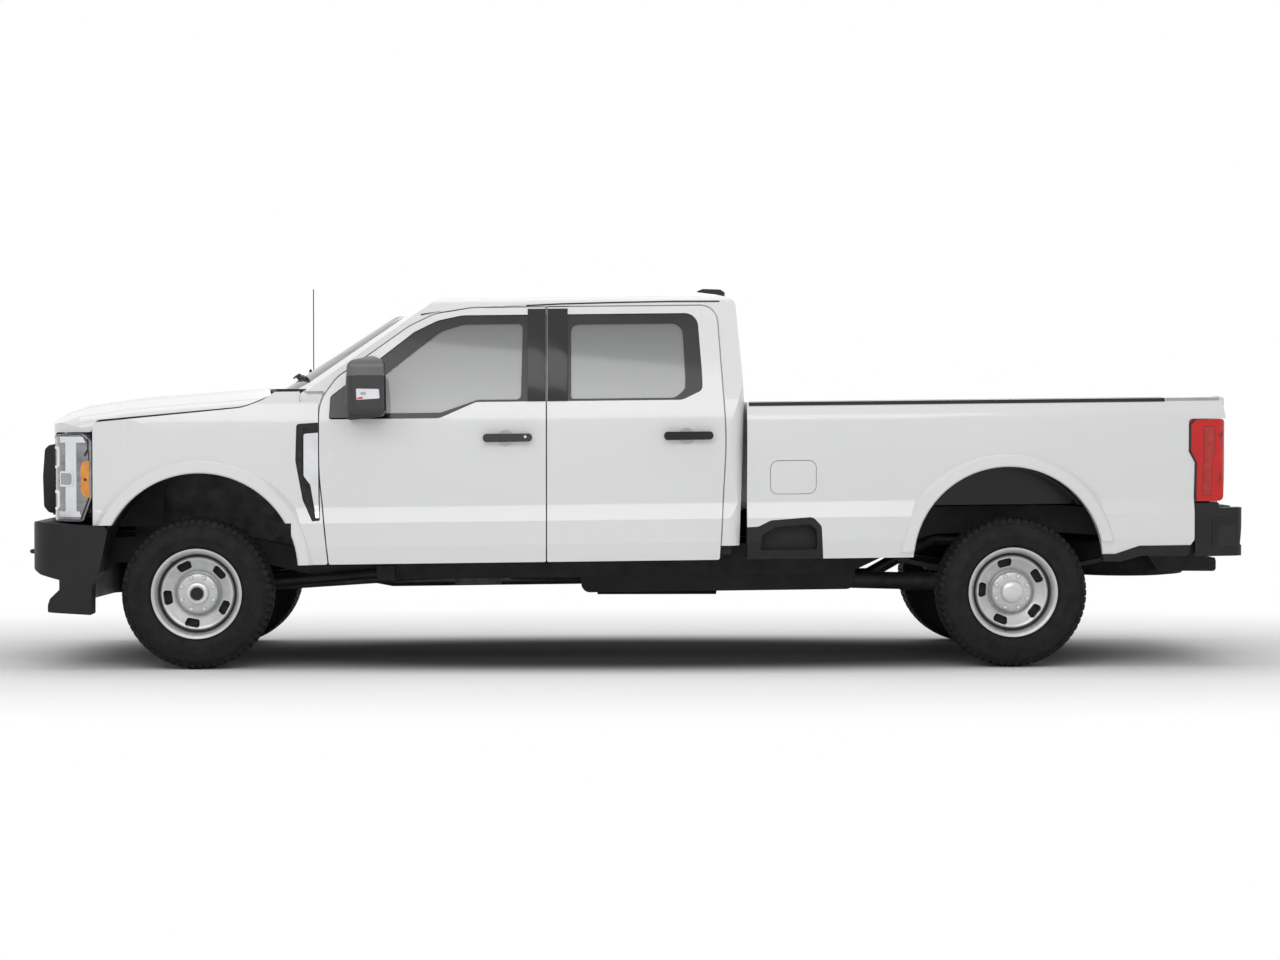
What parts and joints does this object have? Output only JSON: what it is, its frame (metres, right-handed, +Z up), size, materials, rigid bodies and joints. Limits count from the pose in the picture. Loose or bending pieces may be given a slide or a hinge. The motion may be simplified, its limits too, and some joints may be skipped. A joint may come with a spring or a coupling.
{
  "type": "pickup truck",
  "caption": "Crew cab pickup truck with a long load bed, four hinged doors, opening hood, tailgate and fuel door, turning wheels and working steering.",
  "frame": {"origin": "centre of the bounding box on the ground plane under the tyres", "axes": "+X forward, +Y to the truck's left, +Z up"},
  "size_m": [6.756, 2.495, 2.148],
  "materials": {
    "body_paint": "gloss white paint",
    "chassis_paint": "black chassis paint",
    "cast_parts": "raw casting",
    "exhaust_steel": "dull",
    "black_plastic": "grained black",
    "grille_plastic": "dark grey satin",
    "window_glass": "grey tint",
    "lamp_clear": "clear lens",
    "lamp_red": "red lens",
    "seat_fabric": "woven grey",
    "cabin_plastic": "dark grey",
    "wheel_steel": "silver paint on steel",
    "tyre_rubber": "worn rubber"
  },
  "bodies": {
    "chassis": {"cab": "body_paint", "fenders": "body_paint", "bed": "body_paint", "bedsides": "body_paint", "frame": "chassis_paint", "rockers": "chassis_paint", "front_axle": "chassis_paint", "rear_axle": "chassis_paint", "suspension": "chassis_paint", "engine_block": "cast_parts", "driveline": "cast_parts", "exhaust": "exhaust_steel", "mouldings": "black_plastic", "door_seals": "black_plastic", "wheel_liners": "black_plastic", "front_bumper": "black_plastic", "rear_bumper": "black_plastic", "radiator_support": "black_plastic", "fuel_tank": "black_plastic", "grille": "grille_plastic", "cab_glass": "window_glass", "headlamps": "lamp_clear", "tail_lamps": "lamp_red", "seats": "seat_fabric", "dashboard": "cabin_plastic", "spare_wheel": "tyre_rubber"},
    "hood_lid": {"hood": "body_paint"},
    "tail_gate": {"tailgate": "body_paint"},
    "filler_door": {"fuel_door": "body_paint"},
    "front_left_door": {"door_front_left": "body_paint", "glass_front_left": "window_glass", "trim_front_left": "black_plastic"},
    "front_right_door": {"door_front_right": "body_paint", "glass_front_right": "window_glass", "trim_front_right": "black_plastic"},
    "rear_left_door": {"door_rear_left": "body_paint", "glass_rear_left": "window_glass", "trim_rear_left": "black_plastic"},
    "rear_right_door": {"door_rear_right": "body_paint", "glass_rear_right": "window_glass", "trim_rear_right": "black_plastic"},
    "left_knuckle": {"knuckle_left": "chassis_paint"},
    "right_knuckle": {"knuckle_right": "chassis_paint"},
    "tie_rod": {"steering_linkage": "chassis_paint"},
    "steering_arm": {"pitman_arm": "chassis_paint"},
    "driver_wheel": {"steering_wheel": "cabin_plastic"},
    "wheel_front_left": {"rim_front_left": "wheel_steel", "tyre_front_left": "tyre_rubber"},
    "wheel_front_right": {"rim_front_right": "wheel_steel", "tyre_front_right": "tyre_rubber"},
    "wheel_rear_left": {"rim_rear_left": "wheel_steel", "tyre_rear_left": "tyre_rubber"},
    "wheel_rear_right": {"rim_rear_right": "wheel_steel", "tyre_rear_right": "tyre_rubber"}
  },
  "joints": [
    {"name": "hood_hinge", "type": "hinge", "parent": "chassis", "child": "hood_lid", "pos_m": [1.964, 0, 1.535], "axis": [0, -1, 0], "range_deg": [0, 50]},
    {"name": "tailgate_hinge", "type": "hinge", "parent": "chassis", "child": "tail_gate", "pos_m": [-3.228, 0, 0.94769], "axis": [0, -1, 0], "range_deg": [0, 90]},
    {"name": "fuel_door_hinge", "type": "hinge", "parent": "chassis", "child": "filler_door", "pos_m": [-0.751, 0.995, 1.045], "axis": [0, 0, -1], "range_deg": [0, 100]},
    {"name": "front_left_door_hinge", "type": "hinge", "parent": "chassis", "child": "front_left_door", "pos_m": [1.65, 0.986, 1], "axis": [0, 0, -1], "range_deg": [0, 65]},
    {"name": "front_right_door_hinge", "type": "hinge", "parent": "chassis", "child": "front_right_door", "pos_m": [1.65, -0.986, 1], "axis": [0, 0, 1], "range_deg": [0, 65]},
    {"name": "rear_left_door_hinge", "type": "hinge", "parent": "chassis", "child": "rear_left_door", "pos_m": [0.4115, 0.986, 1], "axis": [0, 0, -1], "range_deg": [0, 65]},
    {"name": "rear_right_door_hinge", "type": "hinge", "parent": "chassis", "child": "rear_right_door", "pos_m": [0.4115, -0.986, 1], "axis": [0, 0, 1], "range_deg": [0, 65]},
    {"name": "steer_left", "type": "hinge", "parent": "chassis", "child": "left_knuckle", "pos_m": [2.38, 0.74, 0.412], "axis": [0, 0, 1], "range_deg": [-33, 33]},
    {"name": "steer_right", "type": "hinge", "parent": "chassis", "child": "right_knuckle", "pos_m": [2.38, -0.74, 0.412], "axis": [0, 0, 1], "range_deg": [-33, 33]},
    {"name": "tie_rod_turn", "type": "hinge", "parent": "left_knuckle", "child": "tie_rod", "pos_m": [2.545, 0.74, 0.352], "axis": [0, 0, 1], "range_deg": [-33, 33]},
    {"name": "steering_arm_turn", "type": "hinge", "parent": "chassis", "child": "steering_arm", "pos_m": [2.65, 0.49, 0.352], "axis": [0, 0, 1], "range_deg": [-33, 33]},
    {"name": "steering_wheel_turn", "type": "hinge", "parent": "chassis", "child": "driver_wheel", "pos_m": [1.25, 0.4, 1.49843], "axis": [-0.9272, 0, 0.3746], "range_deg": [-530, 530]},
    {"name": "front_left_wheel_spin", "type": "hinge", "parent": "left_knuckle", "child": "wheel_front_left", "pos_m": [2.38, 0.8675, 0.412], "axis": [0, 1, 0], "continuous": true},
    {"name": "front_right_wheel_spin", "type": "hinge", "parent": "right_knuckle", "child": "wheel_front_right", "pos_m": [2.38, -0.8675, 0.412], "axis": [0, 1, 0], "continuous": true},
    {"name": "rear_left_wheel_spin", "type": "hinge", "parent": "chassis", "child": "wheel_rear_left", "pos_m": [-2.088, 0.8535, 0.412], "axis": [0, 1, 0], "continuous": true},
    {"name": "rear_right_wheel_spin", "type": "hinge", "parent": "chassis", "child": "wheel_rear_right", "pos_m": [-2.088, -0.8535, 0.412], "axis": [0, 1, 0], "continuous": true}
  ],
  "couplings": [
    {"joint": "steer_right", "follows": "steer_left", "ratio": 1},
    {"joint": "tie_rod_turn", "follows": "steer_left", "ratio": -1},
    {"joint": "steering_arm_turn", "follows": "steer_left", "ratio": 1},
    {"joint": "steering_wheel_turn", "follows": "steer_left", "ratio": 16}
  ]
}
